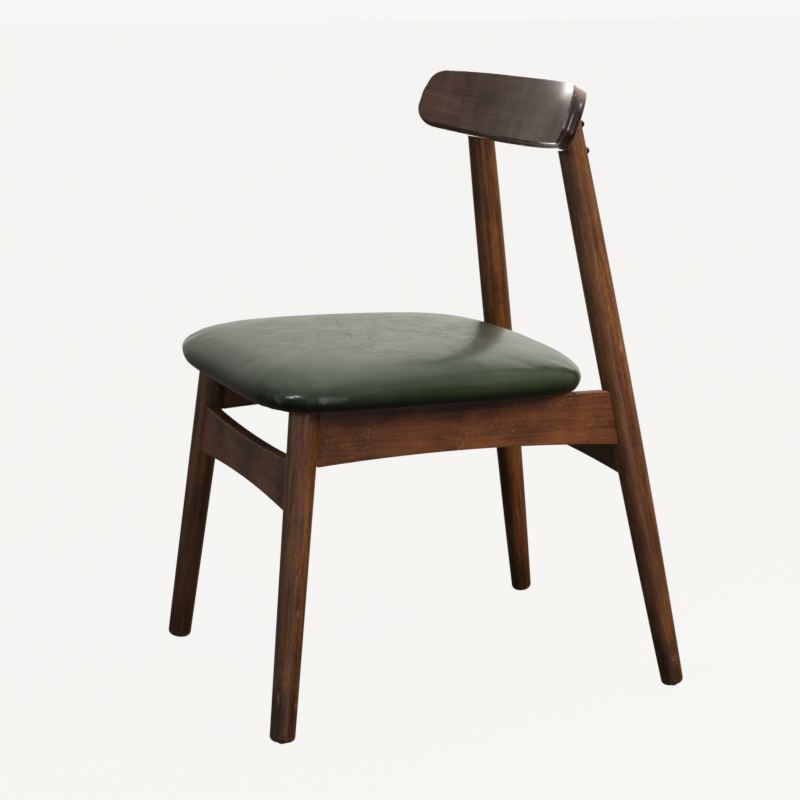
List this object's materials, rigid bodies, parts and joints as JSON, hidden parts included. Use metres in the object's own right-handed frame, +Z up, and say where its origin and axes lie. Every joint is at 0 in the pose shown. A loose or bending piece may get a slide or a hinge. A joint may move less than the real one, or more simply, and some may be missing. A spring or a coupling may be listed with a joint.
{
  "type": "dining chair",
  "caption": "Dining chair with turned, splayed wooden legs, arched rails, a domed leather seat and a curved wooden back panel.",
  "frame": {"origin": "on the floor, under the middle of the whole chair", "axes": "+Z up; the front of the seat faces -Y and the back panel is at +Y; +X is the sitter's left"},
  "size_m": [0.4894, 0.5847, 0.8019],
  "materials": {
    "stained_wood": "dark walnut stain under satin lacquer",
    "dowel_wood": "plain beech",
    "green_leather": "glossy, finely creased",
    "foam": "open cell foam",
    "plywood": "raw birch",
    "black_cloth": "non-woven, matt",
    "zinc_steel": "zinc plated",
    "dark_steel": "blackened"
  },
  "bodies": {
    "root": {"front_leg_left": "stained_wood", "front_leg_right": "stained_wood", "rear_leg_left": "stained_wood", "rear_leg_right": "stained_wood", "side_rail_left": "stained_wood", "side_rail_right": "stained_wood", "front_rail": "stained_wood", "rear_rail": "stained_wood", "back_panel": "stained_wood", "dowel_side_front_left_1": "dowel_wood", "dowel_side_front_left_2": "dowel_wood", "dowel_side_front_right_1": "dowel_wood", "dowel_side_front_right_2": "dowel_wood", "dowel_side_rear_left_1": "dowel_wood", "dowel_side_rear_left_2": "dowel_wood", "dowel_side_rear_right_1": "dowel_wood", "dowel_side_rear_right_2": "dowel_wood", "dowel_front_left_1": "dowel_wood", "dowel_front_left_2": "dowel_wood", "dowel_front_right_1": "dowel_wood", "dowel_front_right_2": "dowel_wood", "dowel_rear_left_1": "dowel_wood", "dowel_rear_left_2": "dowel_wood", "dowel_rear_right_1": "dowel_wood", "dowel_rear_right_2": "dowel_wood", "seat_cover": "green_leather", "seat_foam": "foam", "seat_base": "plywood", "dust_cover": "black_cloth", "bracket_front_left": "zinc_steel", "bracket_front_right": "zinc_steel", "bracket_rear_left": "zinc_steel", "bracket_rear_right": "zinc_steel", "screw_rail_front_left": "zinc_steel", "screw_rail_front_right": "zinc_steel", "screw_rail_rear_left": "zinc_steel", "screw_rail_rear_right": "zinc_steel", "screw_base_front_left": "zinc_steel", "screw_base_front_right": "zinc_steel", "screw_base_rear_left": "zinc_steel", "screw_base_rear_right": "zinc_steel", "back_screw_upper_left": "dark_steel", "back_screw_upper_right": "dark_steel", "back_screw_lower_left": "dark_steel", "back_screw_lower_right": "dark_steel", "glide_front_left": "zinc_steel", "glide_front_right": "zinc_steel", "glide_rear_left": "zinc_steel", "glide_rear_right": "zinc_steel"}
  },
  "joints": []
}
